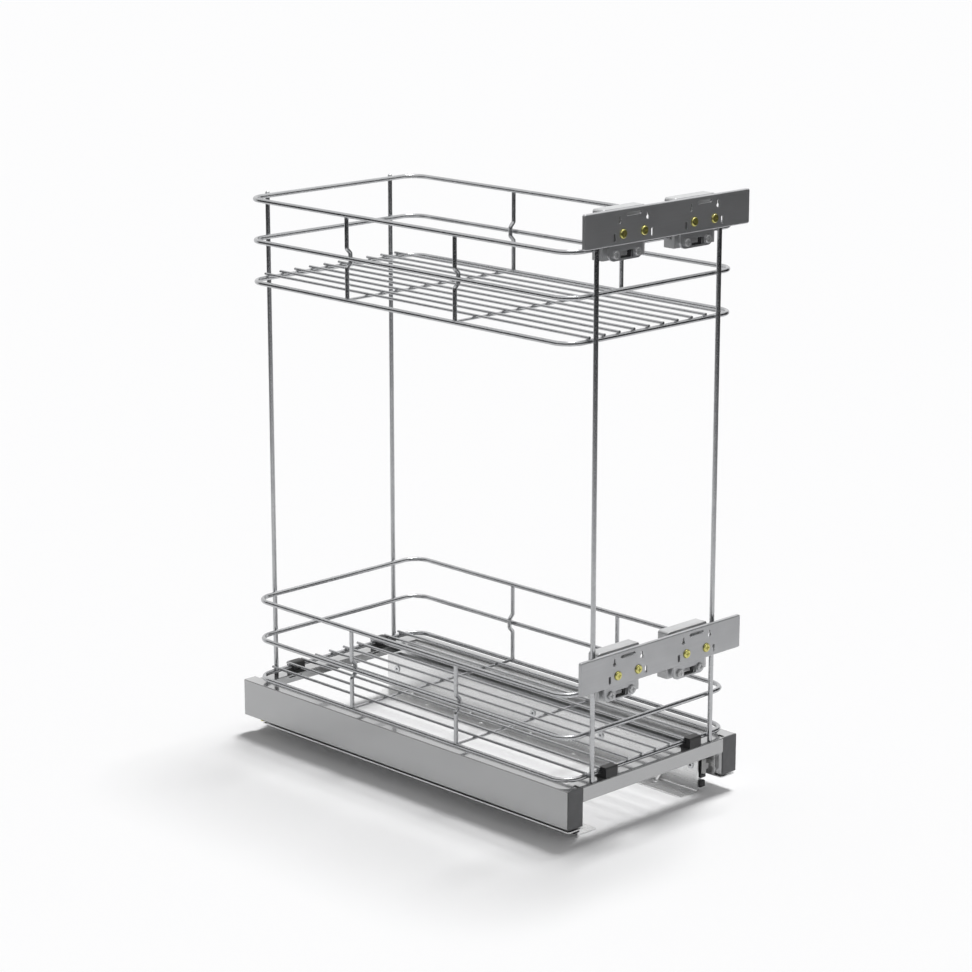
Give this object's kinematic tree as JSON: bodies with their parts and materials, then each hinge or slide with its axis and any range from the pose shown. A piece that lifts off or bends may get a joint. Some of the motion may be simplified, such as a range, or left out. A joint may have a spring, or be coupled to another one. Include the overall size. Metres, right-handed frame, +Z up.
{
  "type": "pull-out cargo basket",
  "caption": "Narrow pull-out cabinet unit: wire baskets on uprights over a floor-mounted, covered, full-extension runner base, with adjustable door-front brackets.",
  "frame": {"origin": "on the cabinet floor, centre of the four outer floor-screw holes", "axes": "+Z up, -Y out of the cabinet towards the door, +X to the right as seen from behind the door looking into the cabinet"},
  "size_m": [0.253, 0.5112, 0.6383],
  "materials": {
    "satin_wire": "satin chrome plate",
    "silver_paint": "satin silver-grey powder coat",
    "zinc_sheet": "bright zinc plate on steel sheet",
    "rail_steel": "zinc-plated cold-rolled steel",
    "ball_steel": "polished bearing steel",
    "yellow_zinc": "yellow passivated zinc plate",
    "black_plastic": "moulded, fine matte texture",
    "light_plastic": "moulded, plain",
    "grey_plastic": "moulded, dark grey",
    "plate_finish": "satin grey coat on steel sheet",
    "adjuster_zinc": "bright zinc plate, lightly brushed"
  },
  "bodies": {
    "root": {"left_floor_bracket": "zinc_sheet", "right_floor_bracket": "zinc_sheet", "left_fixed_rail": "rail_steel", "right_fixed_rail": "rail_steel", "rail_rivets": "rail_steel", "rail_stops": "black_plastic"},
    "intermediate_rails": {"left_intermediate_rail": "rail_steel", "right_intermediate_rail": "rail_steel", "rail_end_caps": "black_plastic"},
    "outer_ball_cages": {"outer_ball_cages": "rail_steel", "outer_balls": "ball_steel"},
    "inner_ball_cages": {"inner_ball_cages": "rail_steel", "inner_balls": "ball_steel"},
    "left_release_lever": {"left_release_lever": "light_plastic"},
    "right_release_lever": {"right_release_lever": "light_plastic"},
    "lower_sliders": {"lower_left_slider": "adjuster_zinc", "lower_right_slider": "adjuster_zinc"},
    "upper_sliders": {"upper_left_slider": "adjuster_zinc", "upper_right_slider": "adjuster_zinc"},
    "lower_plate": {"lower_front_plate": "plate_finish", "lower_plate_screws": "yellow_zinc", "lower_plate_nuts": "yellow_zinc"},
    "upper_plate": {"upper_front_plate": "plate_finish", "upper_plate_screws": "yellow_zinc", "upper_plate_nuts": "yellow_zinc"},
    "carriage": {"left_carrier": "zinc_sheet", "right_carrier": "zinc_sheet", "left_moving_rail": "rail_steel", "right_moving_rail": "rail_steel", "lever_pins": "rail_steel", "carrier_screws": "rail_steel", "wire_clips": "black_plastic", "rear_buffers": "black_plastic", "cover_end_plates": "grey_plastic", "left_side_cover": "silver_paint", "right_side_cover": "silver_paint", "front_cross_member": "silver_paint", "rear_cross_member": "silver_paint", "cover_screws": "yellow_zinc", "front_left_post": "satin_wire", "front_right_post": "satin_wire", "rear_left_post": "satin_wire", "rear_right_post": "satin_wire", "lower_bottom_rim": "satin_wire", "lower_middle_rim": "satin_wire", "lower_top_rim": "satin_wire", "upper_bottom_rim": "satin_wire", "upper_middle_rim": "satin_wire", "upper_top_rim": "satin_wire", "lower_struts": "satin_wire", "upper_struts": "satin_wire", "lower_shelf_wires": "satin_wire", "upper_shelf_wires": "satin_wire", "cross_wires": "satin_wire", "lower_left_housing": "adjuster_zinc", "lower_right_housing": "adjuster_zinc", "upper_left_housing": "adjuster_zinc", "upper_right_housing": "adjuster_zinc", "clamp_bars": "adjuster_zinc", "clamp_screws": "adjuster_zinc"}
  },
  "joints": [
    {"name": "pull_out", "type": "slide", "parent": "root", "child": "carriage", "axis": [0, -1, 0], "range_m": [0, 0.43]},
    {"name": "intermediate_slide", "type": "slide", "parent": "root", "child": "intermediate_rails", "axis": [0, -1, 0], "range_m": [0, 0.215]},
    {"name": "outer_cage_slide", "type": "slide", "parent": "root", "child": "outer_ball_cages", "axis": [0, -1, 0], "range_m": [0, 0.1075]},
    {"name": "inner_cage_slide", "type": "slide", "parent": "root", "child": "inner_ball_cages", "axis": [0, -1, 0], "range_m": [0, 0.3225]},
    {"name": "left_lever_press", "type": "hinge", "parent": "carriage", "child": "left_release_lever", "pos_m": [-0.0998, -0.188, 0.028], "axis": [1, 0, 0], "range_deg": [0, 6], "stiffness_Nm_per_rad": 0.02, "springref_deg": -11.46},
    {"name": "right_lever_press", "type": "hinge", "parent": "carriage", "child": "right_release_lever", "pos_m": [0.0998, -0.188, 0.028], "axis": [1, 0, 0], "range_deg": [0, 6], "stiffness_Nm_per_rad": 0.02, "springref_deg": -11.46},
    {"name": "lower_side_adjustment", "type": "slide", "parent": "carriage", "child": "lower_sliders", "axis": [1, 0, 0], "range_m": [-0.002, 0.002]},
    {"name": "lower_height_adjustment", "type": "slide", "parent": "lower_sliders", "child": "lower_plate", "axis": [0, 0, 1], "range_m": [-0.003, 0.003]},
    {"name": "upper_side_adjustment", "type": "slide", "parent": "carriage", "child": "upper_sliders", "axis": [1, 0, 0], "range_m": [-0.002, 0.002]},
    {"name": "upper_height_adjustment", "type": "slide", "parent": "upper_sliders", "child": "upper_plate", "axis": [0, 0, 1], "range_m": [-0.003, 0.003]}
  ],
  "couplings": [
    {"joint": "intermediate_slide", "follows": "pull_out", "ratio": 0.5},
    {"joint": "outer_cage_slide", "follows": "pull_out", "ratio": 0.25},
    {"joint": "inner_cage_slide", "follows": "pull_out", "ratio": 0.75}
  ]
}
